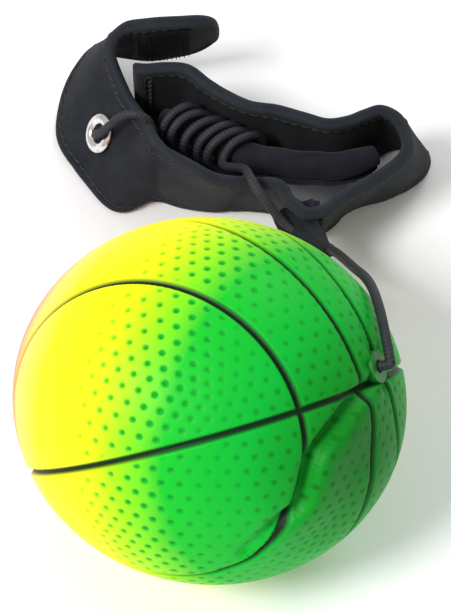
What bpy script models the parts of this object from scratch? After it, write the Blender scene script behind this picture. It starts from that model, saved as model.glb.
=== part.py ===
"""Wrist return ball: a soft hollow basketball on an elastic cord, stored in its hook-and-loop wristband.

Lengths are in millimetres and are turned into metres when an object is made. The hand-chosen points are
measured from the spot that the ball stands on: +X right, +Y from the ball to the wristband, +Z up.
"""

import math

import bmesh
import bpy
import numpy as np
from mathutils import Matrix, Vector

MM = 0.001
GAP = 0.3  # between pieces that touch

# Ball
BALL_RADIUS = 32.6
BALL_STRETCH = 1.075  # the soft ball is a little longer than it is high
BALL_LONG_AXIS = (0.989, -0.124, -0.087)
SHELL_WALL = 3.0
MOUTH_DIRECTION = (0.845, -0.108, 0.520)  # from the ball's centre to the hole that the cord goes in at
MOUTH_RADIUS = 3.2
PLUG_RECESS = 0.5  # from the ball's surface down to the plug's face
PLUG_FLANGE_RADIUS = 5.6
PLUG_FLANGE_HEIGHT = 1.4
DISC_RADIUS = 4.4
DISC_HEIGHT = 1.0
KNOT_RADIUS = 2.3
KNOT_FLATNESS = 0.85
KNOT_HALF_HEIGHT = KNOT_RADIUS * KNOT_FLATNESS

# Cord
CORD_DIAMETER = 1.8
CORD_POINT_STEP = 4.2
CORD_BEND_HEIGHT = 1.7  # from the ball's surface up to where the cord turns into the mouth
CORD_TIP_START = 1.3  # from that turn to the cord's end piece, and to its far end
CORD_TIP_END = 4.6

# Wristband
BAND_WIDTH = 25.0
CLOTH = 0.6  # each layer of the wristband
HEM_WIDTH = 2.8
HEM_HEIGHT = 1.0
STEP_ALONG = 3.0  # between rows of faces
TIP_LENGTH = 7.0  # the rounded stretch at the flap's tip
TIP_POWER = 2.6

# Eyelet
EYELET_HOLE_RADIUS = 1.95
EYELET_WALL = 0.5
EYELET_FLANGE_RADIUS = 4.15
EYELET_FLANGE_HEIGHT = 0.8
EYELET_WASHER_HEIGHT = 0.5
EYELET_SEAT = 0.45  # from the curved cloth's middle line of contact to the flat flange
EYELET_ALONG = 47.4  # from the flap's tip
EYELET_ACROSS = 13.0  # from the bottom edge
HOLE_REACH = 6.0  # of the cutter, each way from the cloth's middle

# Inner roll, with the cord wound on it
ROLL_RADIUS = 3.9
COIL_START = 0.02  # shares of the roll's length
COIL_END = 0.4
LEAD_END_SIDE = (0.1, 0.1, 1.0)  # where the lead meets the coil's end, seen from the roll's axis
NECK_START_SIDE = (0.0, -1.0, 0.4)
LEAD_RISE = 3.4  # from the cloth's middle up to where the lead turns over the eyelet's flange

# Closure
PATCH_HEIGHT = 0.9
PATCH_MARGIN = 3.2  # from the patches to the strap's edges
HOOK_START = 6.0  # from the flap's tip
HOOK_END = 8.0  # from the fold
LOOP_START = 5.0  # from the tail's end
LOOP_END = 42.0
TACK_WIDTH = 1.2
TACK_HEIGHT = 0.6

# The strap's outline: a point on its bottom edge, and a point that its width leans towards. It runs from the
# flap's free tip to the fold, round the left end, along the near wall, round the right end and back to the tail.
STATIONS = (
    ((1.6, 105.4, 9.8), (1.4, 92.8, 31.4)),
    ((-6.0, 104.0, 8.0), (-6.1, 92.6, 30.4)),
    ((-12.8, 104.0, 6.4), (-12.8, 93.6, 29.0)),
    ((-19.4, 105.4, 5.6), (-17.6, 93.8, 27.0)),
    ((-25.0, 106.2, 5.6), (-20.2, 92.6, 24.6)),
    ((-29.2, 102.8, 3.2), (-20.6, 90.8, 22.4)),
    ((-32.0, 96.2, 0.8), (-19.4, 88.0, 20.0)),
    ((-32.4, 86.0, 0.0), (-16.6, 82.6, 18.6)),
    ((-26.2, 74.6, 0.0), (-12.6, 73.8, 20.8)),
    ((-19.6, 67.4, 0.0), (-10.2, 67.0, 23.0)),
    ((-12.9, 70.6, 0.0), (-7.3, 63.4, 23.4)),
    ((-5.8, 69.0, 0.0), (-3.0, 60.4, 23.4)),
    ((1.1, 68.2, 0.0), (1.2, 58.0, 23.0)),
    ((7.9, 68.4, 0.0), (7.7, 57.4, 22.4)),
    ((13.6, 67.2, 0.0), (13.4, 56.6, 22.4)),
    ((17.4, 63.8, 0.0), (15.8, 52.8, 22.0)),
    ((20.8, 61.8, 0.0), (18.6, 50.4, 21.6)),
    ((24.0, 63.6, 0.0), (22.0, 51.2, 21.4)),
    ((26.6, 67.2, 0.0), (25.4, 54.2, 21.4)),
    ((30.0, 69.4, 0.0), (29.6, 57.0, 21.8)),
    ((35.6, 71.2, 0.0), (34.0, 60.0, 22.4)),
    ((40.4, 73.6, 0.0), (37.2, 62.8, 22.4)),
    ((44.0, 77.2, 0.0), (38.8, 66.6, 22.0)),
    ((44.8, 81.2, 0.0), (38.4, 70.6, 22.0)),
    ((42.4, 84.4, 0.0), (36.8, 73.8, 22.8)),
    ((38.0, 84.4, 0.0), (33.8, 75.2, 24.0)),
    ((33.6, 81.6, 0.0), (30.8, 74.0, 24.4)),
    ((29.0, 77.8, 0.0), (27.4, 71.8, 24.6)),
    ((24.0, 75.6, 0.0), (23.2, 71.0, 24.6)),
    ((18.4, 76.4, 0.0), (18.4, 72.6, 24.6)),
    ((13.0, 79.0, 0.0), (13.2, 74.6, 24.6)),
    ((7.6, 79.8, 0.0), (7.8, 75.4, 24.6)),
    ((3.0, 82.6, 0.0), (3.0, 78.4, 24.6)),
    ((-1.0, 85.2, 0.0), (-0.9, 81.4, 24.6)),
    ((-5.2, 88.2, 0.0), (-5.0, 85.2, 24.6)),
    ((-9.6, 88.6, 0.0), (-9.4, 85.6, 24.6)),
    ((-13.4, 88.6, 0.0), (-13.2, 85.4, 24.6)),
    ((-16.2, 89.0, 0.0), (-16.0, 85.8, 24.6)),
)
FOLD_STATION = 4
FOLD_GAP = 1.2

# Axis of the inner roll, from its left end to its right end
ROLL_AXIS = (
    (-10.0, 80.2, 14.6),
    (-3.0, 74.8, 15.6),
    (6.0, 69.0, 16.2),
    (17.0, 66.4, 16.4),
    (27.0, 66.6, 15.8),
    (33.0, 69.6, 15.2),
)
# Cord from the eyelet over the left end's rim to the coil
LEAD_ROUTE = (
    (-22.4, 76.6, 15.6),
    (-19.2, 75.0, 18.2),
    (-16.6, 75.2, 21.2),
    (-14.4, 77.0, 22.8),
)
# Cord from the coil over the near rim and along the ball to its mouth
NECK_ROUTE = (
    (9.4, 60.8, 22.2),
    (7.8, 57.2, 25.2),
    (8.8, 54.2, 24.4),
    (11.2, 51.8, 22.0),
    (14.0, 50.2, 18.8),
    (17.4, 47.8, 17.6),
    (20.7, 43.2, 20.6),
    (23.2, 38.2, 25.8),
    (25.0, 32.0, 31.4),
    (26.6, 25.4, 37.3),
    (27.7, 19.6, 43.2),
    (28.5, 14.4, 47.6),
    (29.1, 9.8, 50.2),
    (29.7, 5.6, 51.2),
    (30.1, 2.0, 51.6),
)


def unit(vector):
    return np.asarray(vector, float) / np.linalg.norm(vector)


def clear_scene():
    for obj in list(bpy.data.objects):
        bpy.data.objects.remove(obj, do_unlink=True)


def material(name, color, roughness, metallic=0.0):
    made = bpy.data.materials.new(name)
    made.use_nodes = True
    shader = made.node_tree.nodes["Principled BSDF"]
    shader.inputs["Base Color"].default_value = (*color, 1.0)
    shader.inputs["Roughness"].default_value = roughness
    shader.inputs["Metallic"].default_value = metallic
    return made


def empty(name, place, parent=None):
    """Makes a pivot that pieces are parented to, at a place in millimetres."""
    made = bpy.data.objects.new(name, None)
    bpy.context.scene.collection.objects.link(made)
    made.parent = parent
    base = Vector((0.0, 0.0, 0.0)) if parent is None else parent.matrix_world.translation
    made.location = Vector(place) * MM - base
    bpy.context.view_layer.update()
    return made


def add_object(name, data, finish, pivot):
    made = bpy.data.objects.new(name, data)
    bpy.context.scene.collection.objects.link(made)
    data.materials.append(finish)
    made.parent = pivot
    return made


def add_mesh(name, body, finish, pivot, sharp_angle=40.0):
    """Makes a closed mesh from (points, faces), in millimetres."""
    points, faces = body
    shape = bmesh.new()
    base = pivot.matrix_world.translation
    verts = [shape.verts.new(Vector(point) * MM - base) for point in points]
    for face in faces:
        shape.faces.new([verts[i] for i in face])
    bmesh.ops.recalc_face_normals(shape, faces=shape.faces)
    data = bpy.data.meshes.new(name)
    shape.to_mesh(data)
    shape.free()
    data.shade_smooth()
    data.set_sharp_from_angle(angle=math.radians(sharp_angle))
    return add_object(name, data, finish, pivot)


def cut(obj, cutter):
    change = obj.modifiers.new("cut_" + cutter.name, "BOOLEAN")
    change.operation = "DIFFERENCE"
    change.object = cutter


def hide(cutter):
    cutter.hide_render = True
    cutter.display_type = "WIRE"
    return cutter


def smooth_curve(points, step):
    """Points at an even step along a smooth curve through the given ones, in any number of dimensions."""
    points = np.asarray(points, float)
    padded = np.vstack([2 * points[0] - points[1], points, 2 * points[-1] - points[-2]])
    knots = np.concatenate([[0.0], np.cumsum(np.sqrt(np.linalg.norm(np.diff(padded, axis=0), axis=1)))])
    fine = []
    for i in range(1, len(padded) - 2):
        p0, p1, p2, p3 = padded[i - 1 : i + 3]
        t0, t1, t2, t3 = knots[i - 1 : i + 3]
        for t in np.linspace(t1, t2, 24, endpoint=False):
            a1 = (t1 - t) / (t1 - t0) * p0 + (t - t0) / (t1 - t0) * p1
            a2 = (t2 - t) / (t2 - t1) * p1 + (t - t1) / (t2 - t1) * p2
            a3 = (t3 - t) / (t3 - t2) * p2 + (t - t2) / (t3 - t2) * p3
            b1 = (t2 - t) / (t2 - t0) * a1 + (t - t0) / (t2 - t0) * a2
            b2 = (t3 - t) / (t3 - t1) * a2 + (t - t1) / (t3 - t1) * a3
            fine.append((t2 - t) / (t2 - t1) * b1 + (t - t1) / (t2 - t1) * b2)
    fine.append(points[-1])
    fine = np.array(fine)
    along = np.concatenate([[0.0], np.cumsum(np.linalg.norm(np.diff(fine, axis=0), axis=1))])
    spots = np.linspace(0, along[-1], max(2, round(along[-1] / step) + 1))
    return np.stack([np.interp(spots, along, column) for column in fine.T], axis=1)


def part_of(path, start, end):
    """The stretch of a path between two shares of its length."""
    spots = np.linspace(start, end, max(3, round((end - start) * len(path)) + 1)) * (len(path) - 1)
    return np.stack([np.interp(spots, np.arange(len(path)), column) for column in path.T], axis=1)


def tangents_of(path):
    return np.array([unit(row) for row in np.gradient(path, axis=0)])


def joined_rings(rings, closed=False):
    """A closed body through rings of equal length: its ends are faces, or the last ring meets the first."""
    points = [point for ring in rings for point in ring]
    size = len(rings[0])
    faces = []
    for i in range(len(rings) - (not closed)):
        near, far = i * size, (i + 1) % len(rings) * size
        for k in range(size):
            after = (k + 1) % size
            faces.append((near + k, near + after, far + after, far + k))
    if not closed:
        faces.append(tuple(range(size)))
        faces.append(tuple((len(rings) - 1) * size + k for k in reversed(range(size))))
    return points, faces


def round_section(radius, sides):
    turns = [2 * math.pi * k / sides for k in range(sides)]
    return [(radius * math.cos(turn), radius * math.sin(turn)) for turn in turns]


def soft_section(width, height, corner=0.35):
    """Outline of a flat bar with cut corners, round the origin."""
    x, y = width / 2, height / 2
    inner_x, inner_y = x - corner, y - corner
    return [
        (x, inner_y), (inner_x, y), (-inner_x, y), (-x, inner_y),
        (-x, -inner_y), (-inner_x, -y), (inner_x, -y), (x, -inner_y),
    ]


def frames_along(path):
    """Two directions across the path at each of its points, carried along it without twist."""
    tangents = tangents_of(path)
    side = unit(np.cross(tangents[0], (0.0, 0.3, 1.0)))
    frames = []
    for tangent in tangents:
        side = unit(side - tangent * (side @ tangent))
        frames.append((side, np.cross(tangent, side)))
    return frames


def bar_along(path, frames, sections):
    """Rings of the sections (points across the path) set along the path."""
    rings = []
    for point, (side, up), section in zip(path, frames, sections):
        rings.append([point + x * side + y * up for x, y in section])
    return rings


def turned(profile, place, axis, sides):
    """A body turned about an axis through a place, from a closed profile of (radius, height) points."""
    axis = unit(axis)
    side = unit(np.cross(axis, (0.3, 1.0, 0.2)))
    up = np.cross(axis, side)
    rings = []
    for k in range(sides):
        turn = 2 * math.pi * k / sides
        out = side * math.cos(turn) + up * math.sin(turn)
        rings.append([place + out * radius + axis * height for radius, height in profile])
    return joined_rings(rings, closed=True)


class Strap:
    """The wristband's strip of cloth: places on it are (along, across, out), all in millimetres."""

    def __init__(self, stations):
        edges = [np.concatenate([low, low + BAND_WIDTH * unit(np.subtract(top, low))]) for low, top in stations]
        rows = smooth_curve(edges, 1.0)
        rows[:, 2] = np.maximum(rows[:, 2], 0.0)  # the bottom edge lies on the surface, not below it
        self.low = rows[:, :3]
        self.lean = np.array([unit(row[3:] - row[:3]) for row in rows])
        middle = (rows[:, :3] + rows[:, 3:]) / 2
        steps = np.linalg.norm(np.diff(middle, axis=0), axis=1)
        self.along = np.concatenate([[0.0], np.cumsum(steps)])
        self.length = self.along[-1]
        self.normal = np.array([unit(np.cross(t, a)) for t, a in zip(tangents_of(middle), self.lean)])

    def read(self, rows, along):
        return np.array([np.interp(along, self.along, column) for column in rows.T])

    def lean_at(self, along):
        return unit(self.read(self.lean, along))

    def normal_at(self, along):
        return unit(self.read(self.normal, along))

    def place(self, along, across, out=0.0):
        return self.read(self.low, along) + self.lean_at(along) * across + self.normal_at(along) * out

    def along_of(self, point):
        """How far along the strip a point of its bottom edge is."""
        return self.along[int(np.argmin(np.linalg.norm(self.low - point, axis=1)))]

    def first_row(self, along):
        """Where the layers start across the strip, so that they clear the bottom hem."""
        drop = abs(self.normal_at(along)[2]) * LAYERS_HALF
        return (HEM_HEIGHT + GAP + drop) / self.lean_at(along)[2]

    def sheet(self, spots, edges, inside, outside):
        """A closed sheet between two offsets. edges gives the two ends across the strip at a spot along it."""
        points, faces = [], []
        for along in spots:
            first, last = edges(along)
            for out in (inside, outside):
                points += [self.place(along, first, out), self.place(along, last, out)]
        for i in range(len(spots) - 1):
            a, b = 4 * i, 4 * i + 4
            for level in (0, 2):
                faces.append((a + level, b + level, b + level + 1))
                faces.append((a + level, b + level + 1, a + level + 1))
            for k in (0, 1):
                faces.append((a + k, b + k, b + k + 2, a + k + 2))
        for end in (0, 4 * (len(spots) - 1)):
            faces.append((end, end + 1, end + 3, end + 2))
        return points, faces


LAYERS_HALF = (3 * CLOTH + 2 * GAP) / 2
LAYER_OFFSETS = {
    "lining": (-LAYERS_HALF, -LAYERS_HALF + CLOTH),
    "core": (-CLOTH / 2, CLOTH / 2),
    "outer": (LAYERS_HALF - CLOTH, LAYERS_HALF),
}
EDGE_MARGIN = HEM_HEIGHT + 2 * GAP


def square_to(direction, tangent):
    return unit(direction - tangent * (tangent @ direction))


def even_spots(start, end):
    return np.linspace(start, end, max(3, round((end - start) / STEP_ALONG) + 1))


def make_band(strap, fold, finishes, pivot):
    """The wristband from the flap's fold to its tail: three layers and a hem on each edge."""
    spots = even_spots(fold + FOLD_GAP / 2, strap.length - EDGE_MARGIN)
    made = {}
    for layer, (inside, outside) in LAYER_OFFSETS.items():
        edges = lambda along: (strap.first_row(along), BAND_WIDTH - EDGE_MARGIN)
        body = strap.sheet(spots, edges, inside, outside)
        made[layer] = add_mesh("band_" + layer, body, finishes[layer], pivot)

    spots = np.append(spots, strap.length)
    ground = np.array([strap.place(along, 0.0) for along in spots]) + (0.0, 0.0, HEM_HEIGHT / 2)
    frames = [(unit(strap.normal_at(along) * (1, 1, 0)), np.array((0.0, 0.0, 1.0))) for along in spots]
    section = soft_section(HEM_WIDTH, HEM_HEIGHT)
    rings = bar_along(ground, frames, [section] * len(spots))
    add_mesh("band_bottom_hem", joined_rings(rings), finishes["hem"], pivot)

    top = np.array([strap.place(along, BAND_WIDTH - HEM_HEIGHT / 2) for along in spots])
    frames = [(strap.normal_at(along), strap.lean_at(along)) for along in spots]
    rings = bar_along(top, frames, [section] * len(spots))
    add_mesh("band_top_hem", joined_rings(rings), finishes["hem"], pivot)
    return made


def make_tail_hem(strap, finish, pivot):
    """The short hem on the tail's cut end, between the two long hems."""
    along = strap.length - HEM_HEIGHT / 2
    spots = np.linspace(strap.first_row(along), BAND_WIDTH - EDGE_MARGIN, 5)
    path = np.array([strap.place(along, across) for across in spots])
    forward = unit(np.cross(strap.lean_at(along), strap.normal_at(along)))
    rings = bar_along(path, [(strap.normal_at(along), forward)] * 5, [soft_section(HEM_WIDTH, HEM_HEIGHT)] * 5)
    add_mesh("band_tail_hem", joined_rings(rings), finish, pivot)


def tip_half_width(along, margin):
    """Half of the flap's width near its rounded tip, a margin inside its outline."""
    reach = max(0.0, (TIP_LENGTH - along) / (TIP_LENGTH - margin))
    return (BAND_WIDTH / 2 - margin) * max(0.0, 1 - reach**TIP_POWER) ** (1 / TIP_POWER)


def make_flap(strap, fold, finishes, pivot):
    """The free end of the strap, from its rounded tip to the fold."""
    spots = np.concatenate([
        np.linspace(EDGE_MARGIN + 0.1, TIP_LENGTH, 6)[:-1],
        even_spots(TIP_LENGTH, fold - FOLD_GAP / 2),
    ])

    def edges(along):
        half = tip_half_width(along, EDGE_MARGIN)
        return BAND_WIDTH / 2 - half, BAND_WIDTH / 2 + half

    for layer, (inside, outside) in LAYER_OFFSETS.items():
        body = strap.sheet(spots, edges, inside, outside)
        add_mesh("flap_" + layer, body, finishes[layer], pivot)

    margin = HEM_HEIGHT / 2
    outline = [(along, BAND_WIDTH / 2 - tip_half_width(along, margin)) for along in reversed(spots[5:])]
    for k in range(1, 12):
        turn = math.pi * k / 12
        across = BAND_WIDTH / 2 - (BAND_WIDTH / 2 - margin) * superellipse(math.cos(turn))
        along = TIP_LENGTH - (TIP_LENGTH - margin) * superellipse(math.sin(turn))
        outline.append((along, across))
    outline += [(along, BAND_WIDTH / 2 + tip_half_width(along, margin)) for along in spots[5:]]
    path = np.array([strap.place(along, across) for along, across in outline])
    normals = [strap.normal_at(along) for along, _ in outline]
    tangents = tangents_of(path)
    frames = [(normal, unit(np.cross(tangent, normal))) for normal, tangent in zip(normals, tangents)]
    rings = bar_along(path, frames, [soft_section(HEM_WIDTH, HEM_HEIGHT)] * len(path))
    add_mesh("flap_hem", joined_rings(rings), finishes["hem"], pivot)


def superellipse(value):
    return math.copysign(abs(value) ** (2 / TIP_POWER), value)


def make_patch(name, strap, start, end, side, finish, pivot):
    """A hook or loop patch on one face of the strap: side is 1 on its outer face and -1 on its inner one."""
    low = side * (LAYERS_HALF + GAP)
    high = side * (LAYERS_HALF + GAP + PATCH_HEIGHT)
    edges = lambda along: (PATCH_MARGIN, BAND_WIDTH - PATCH_MARGIN)
    body = strap.sheet(even_spots(start, end), edges, min(low, high), max(low, high))
    add_mesh(name, body, finish, pivot)


def make_tack(name, strap, along, side, finish, pivot):
    """A bar of stitches across the strap, beside the end of a patch."""
    low = side * (LAYERS_HALF + GAP)
    high = side * (LAYERS_HALF + GAP + TACK_HEIGHT)
    edges = lambda _: (PATCH_MARGIN, BAND_WIDTH - PATCH_MARGIN)
    spots = np.linspace(along - TACK_WIDTH / 2, along + TACK_WIDTH / 2, 3)
    add_mesh(name, strap.sheet(spots, edges, min(low, high), max(low, high)), finish, pivot)


def make_eyelet(strap, layers, finishes, pivot):
    """The eyelet that the cord comes out of, its washer, and the knot that holds the cord behind it."""
    normal = strap.normal_at(EYELET_ALONG)
    centre = strap.place(EYELET_ALONG, EYELET_ACROSS)
    face = LAYERS_HALF + EYELET_SEAT
    barrel = EYELET_HOLE_RADIUS + EYELET_WALL
    rim = face + EYELET_FLANGE_HEIGHT
    profile = [
        (EYELET_HOLE_RADIUS, -face - EYELET_WASHER_HEIGHT - GAP), (barrel, -face - EYELET_WASHER_HEIGHT - GAP),
        (barrel, face), (EYELET_FLANGE_RADIUS, face), (EYELET_FLANGE_RADIUS - 0.1, face + 0.3),
        (EYELET_FLANGE_RADIUS - 0.7, rim - 0.1), (EYELET_FLANGE_RADIUS - 1.2, rim),
        (EYELET_HOLE_RADIUS + 0.5, rim - 0.1), (EYELET_HOLE_RADIUS, rim - 0.5),
    ]
    add_mesh("eyelet", turned(profile, centre, normal, 28), finishes["metal"], pivot, 30.0)

    inner = barrel + GAP
    outer = EYELET_FLANGE_RADIUS
    washer = [(inner, -face), (inner, -face - EYELET_WASHER_HEIGHT), (outer, -face - EYELET_WASHER_HEIGHT), (outer, -face)]
    add_mesh("eyelet_washer", turned(washer, centre, normal, 28), finishes["metal"], pivot)

    hole = round_section(inner, 28)
    side = unit(np.cross(normal, strap.lean_at(EYELET_ALONG)))
    frame = (side, np.cross(normal, side))
    path = [centre - normal * HOLE_REACH, centre + normal * HOLE_REACH]
    rings = bar_along(path, [frame] * 2, [hole] * 2)
    cutter = hide(add_mesh("eyelet_hole", joined_rings(rings), finishes["metal"], pivot))
    for layer in layers.values():
        cut(layer, cutter)
    return centre, normal


def make_knot(name, place, axis, radius, finish, pivot):
    """A round stopper knot, a little flattened along the cord."""
    shape = bmesh.new()
    bmesh.ops.create_uvsphere(shape, u_segments=14, v_segments=8, radius=radius * MM)
    turn = Vector((0, 0, 1)).rotation_difference(Vector(axis)).to_matrix().to_4x4()
    offset = Matrix.Translation(Vector(place) * MM - pivot.matrix_world.translation)
    bmesh.ops.transform(shape, matrix=offset @ turn @ Matrix.Diagonal((1, 1, KNOT_FLATNESS, 1)), verts=shape.verts)
    data = bpy.data.meshes.new(name)
    shape.to_mesh(data)
    shape.free()
    data.shade_smooth()
    return add_object(name, data, finish, pivot)


def make_cord(name, route, finish, pivot):
    """A round cord along a smooth curve through the route's points."""
    base = pivot.matrix_world.translation
    data = bpy.data.curves.new(name, "CURVE")
    data.dimensions = "3D"
    data.bevel_depth = CORD_DIAMETER / 2 * MM
    data.bevel_resolution = 2
    data.use_fill_caps = True
    points = smooth_curve(route, CORD_POINT_STEP)
    spline = data.splines.new("POLY")
    spline.points.add(len(points) - 1)
    for made, point in zip(spline.points, points):
        made.co = (*(Vector(point) * MM - base), 1.0)
    return add_object(name, data, finish, pivot)


def make_roll(finishes, pivot):
    """The rolled cloth inside the loop, and the sleeve that the wound cord fills."""
    path = smooth_curve(ROLL_AXIS, STEP_ALONG)
    shares = np.linspace(0.0, 1.0, len(path))
    sizes = [ROLL_RADIUS * (1 - 0.35 * abs(2 * share - 1) ** 8) for share in shares]
    frames = frames_along(path)
    rings = bar_along(path, frames, [round_section(size, 14) for size in sizes])
    add_mesh("inner_roll", joined_rings(rings), finishes["lining"], pivot)

    path = part_of(path, COIL_START, COIL_END)
    frames = frames_along(path)
    inner, outer = ROLL_RADIUS + GAP, ROLL_RADIUS + GAP + CORD_DIAMETER
    outside = bar_along(path, frames, [round_section(outer, 16)] * len(path))
    inside = bar_along(path, frames, [round_section(inner, 16)] * len(path))
    rings = outside + inside[::-1]
    add_mesh("cord_coil", joined_rings(rings, closed=True), finishes["cord"], pivot)
    return path


def make_ball(finishes, centre, mouth, axis, ball_pivot, anchor_pivot):
    """The hollow ball, the plug in its mouth, and what holds the cord inside."""
    stretch = stretch_matrix()
    turn = Vector((0, 0, 1)).rotation_difference(Vector(axis)).to_matrix()
    base = ball_pivot.matrix_world.translation

    def egg(name, radius, segments, rings):
        shape = bmesh.new()
        bmesh.ops.create_uvsphere(shape, u_segments=segments, v_segments=rings, radius=radius)
        for vert in shape.verts:
            point = centre + stretch @ np.array(turn @ vert.co)
            vert.co = Vector(point) * MM - base
        data = bpy.data.meshes.new(name)
        shape.to_mesh(data)
        shape.free()
        data.shade_smooth()
        return add_object(name, data, finishes["ball"], ball_pivot)

    shell = egg("ball_shell", BALL_RADIUS, 36, 22)
    cut(shell, hide(egg("ball_hollow", BALL_RADIUS - SHELL_WALL, 28, 16)))
    reach = SHELL_WALL + 2.0
    side = unit(np.cross(axis, (0.3, 1.0, 0.2)))
    frame = (side, np.cross(axis, side))
    path = [mouth - axis * reach, mouth + axis * 2.0]
    rings = bar_along(path, [frame] * 2, [round_section(MOUTH_RADIUS, 24)] * 2)
    cut(shell, hide(add_mesh("ball_mouth", joined_rings(rings), finishes["ball"], ball_pivot)))

    bore = CORD_DIAMETER / 2 + GAP
    bulge = PLUG_FLANGE_RADIUS**2 / (2 * (BALL_RADIUS - SHELL_WALL))
    inside = -SHELL_WALL * BALL_STRETCH - bulge - 2 * GAP
    plug = [
        (bore, -PLUG_RECESS), (bore, inside - PLUG_FLANGE_HEIGHT),
        (PLUG_FLANGE_RADIUS, inside - PLUG_FLANGE_HEIGHT), (PLUG_FLANGE_RADIUS, inside),
        (MOUTH_RADIUS - GAP, inside), (MOUTH_RADIUS - GAP, -PLUG_RECESS),
    ]
    add_mesh("ball_plug", turned(plug, mouth, axis, 24), finishes["plug"], ball_pivot)

    top = inside - PLUG_FLANGE_HEIGHT - GAP
    disc = [(bore, top), (bore, top - DISC_HEIGHT), (DISC_RADIUS, top - DISC_HEIGHT), (DISC_RADIUS, top)]
    add_mesh("anchor_disc", turned(disc, mouth, axis, 24), finishes["disc"], anchor_pivot)
    knot = top - DISC_HEIGHT - GAP - KNOT_HALF_HEIGHT
    make_knot("anchor_knot", mouth + axis * knot, axis, KNOT_RADIUS, finishes["cord"], anchor_pivot)
    end = knot + KNOT_HALF_HEIGHT + GAP
    start = CORD_BEND_HEIGHT - CORD_TIP_START
    make_cord("cord_through_plug", [mouth + axis * start, mouth + axis * end], finishes["cord"], anchor_pivot)


def stretch_matrix():
    long_axis = unit(BALL_LONG_AXIS)
    return np.eye(3) + (BALL_STRETCH - 1) * np.outer(long_axis, long_axis)


def stand_on_origin(root, solids):
    """Moves the whole part so that the middle of its footprint is at the origin."""
    bpy.context.view_layer.update()
    corners = [obj.matrix_world @ Vector(corner) for obj in solids for corner in obj.bound_box]
    low = [min(corner[k] for corner in corners) for k in range(3)]
    high = [max(corner[k] for corner in corners) for k in range(3)]
    root.location = (-(low[0] + high[0]) / 2, -(low[1] + high[1]) / 2, -low[2])
    bpy.context.view_layer.update()


def build():
    clear_scene()
    finishes = {
        "outer": material("band_cloth", (0.022, 0.023, 0.027), 0.85),
        "core": material("band_foam", (0.03, 0.03, 0.03), 0.9),
        "lining": material("lining_cloth", (0.012, 0.012, 0.016), 0.85),
        "hem": material("hem_tape", (0.03, 0.03, 0.034), 0.8),
        "hook": material("hook_tape", (0.01, 0.01, 0.014), 0.7),
        "thread": material("thread", (0.02, 0.02, 0.022), 0.7),
        "metal": material("eyelet_metal", (0.82, 0.80, 0.78), 0.18, 1.0),
        "cord": material("cord_elastic", (0.025, 0.025, 0.028), 0.6),
        "ball": material("ball_rubber", (0.02, 0.62, 0.06), 0.4),
        "plug": material("plug_rubber", (0.02, 0.45, 0.06), 0.45),
        "disc": material("disc_plastic", (0.8, 0.8, 0.78), 0.4),
    }
    stretch = stretch_matrix()
    direction = unit(MOUTH_DIRECTION)
    centre = np.array((0.0, 0.0, BALL_RADIUS * np.linalg.norm(stretch[2])))
    mouth = centre + stretch @ direction * BALL_RADIUS
    axis = unit(mouth - centre)
    bend = mouth + axis * CORD_BEND_HEIGHT

    root = empty("part", (0, 0, 0))
    band = empty("band_pivot", (0, 0, 0), root)
    strap = Strap(STATIONS)
    fold = strap.along_of(np.array(STATIONS[FOLD_STATION][0]))
    fold_pivot = empty("flap_fold", strap.place(fold, BAND_WIDTH / 2), root)
    tip_pivot = empty("cord_tip_pivot", bend, root)
    anchor_pivot = empty("anchor_pivot", bend, tip_pivot)
    ball_pivot = empty("ball_pivot", centre, anchor_pivot)

    layers = make_band(strap, fold, finishes, band)
    make_tail_hem(strap, finishes["hem"], band)
    make_flap(strap, fold, finishes, fold_pivot)
    eyelet_centre, eyelet_normal = make_eyelet(strap, layers, finishes, band)
    make_patch("flap_hook_patch", strap, HOOK_START, fold - HOOK_END, -1, finishes["hook"], fold_pivot)
    make_patch("loop_patch", strap, strap.length - LOOP_END, strap.length - LOOP_START, 1, finishes["lining"], band)
    make_tack("flap_bar_tack", strap, fold - HOOK_END + GAP + TACK_WIDTH, -1, finishes["thread"], fold_pivot)
    make_tack("tail_bar_tack", strap, strap.length - LOOP_START + GAP + TACK_WIDTH, -1, finishes["thread"], band)

    coil = make_roll(finishes, band)
    knot_place = eyelet_centre - eyelet_normal * (LAYERS_HALF + EYELET_WASHER_HEIGHT + 3 * GAP + KNOT_HALF_HEIGHT)
    make_knot("eyelet_knot", knot_place, eyelet_normal, KNOT_RADIUS, finishes["cord"], band)
    exit_start = knot_place + eyelet_normal * (KNOT_HALF_HEIGHT + GAP)
    middle_radius = ROLL_RADIUS + GAP + CORD_DIAMETER / 2
    ends = tangents_of(coil)
    lead_end = coil[0] - ends[0] * GAP + square_to(LEAD_END_SIDE, ends[0]) * middle_radius
    lead = [exit_start, eyelet_centre + eyelet_normal * LEAD_RISE, *LEAD_ROUTE, lead_end - 4 * ends[0], lead_end]
    make_cord("cord_lead", lead, finishes["cord"], band)
    neck_start = coil[-1] + ends[-1] * GAP + square_to(NECK_START_SIDE, ends[-1]) * middle_radius
    toward = unit(np.subtract(NECK_ROUTE[-1], bend))
    tip_end = bend + toward * CORD_TIP_END
    neck = [neck_start, neck_start + 2 * ends[-1], *NECK_ROUTE, tip_end + toward * (1 + GAP), tip_end + toward * GAP]
    make_cord("cord_neck", neck, finishes["cord"], band)
    make_cord("cord_tip", [bend + toward * CORD_TIP_START, tip_end], finishes["cord"], tip_pivot)
    make_ball(finishes, centre, mouth, axis, ball_pivot, anchor_pivot)

    cords = ("cord_lead", "cord_neck", "cord_tip", "cord_coil", "cord_through_plug")
    solids = [obj for obj in bpy.data.objects if obj.type == "MESH" and not obj.hide_render and obj.name not in cords]
    stand_on_origin(root, solids)


build()
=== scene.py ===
"""Looks of a wrist return ball: a soft hollow ball on an elastic cord, stored in its crumpled wristband.

Lengths are in millimetres in the part's own places: +X right, +Y from the ball to the wristband, +Z up,
measured from the spot under the ball's middle. place_in_frame() turns them into the frame's metres.
"""

import itertools
import math

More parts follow.
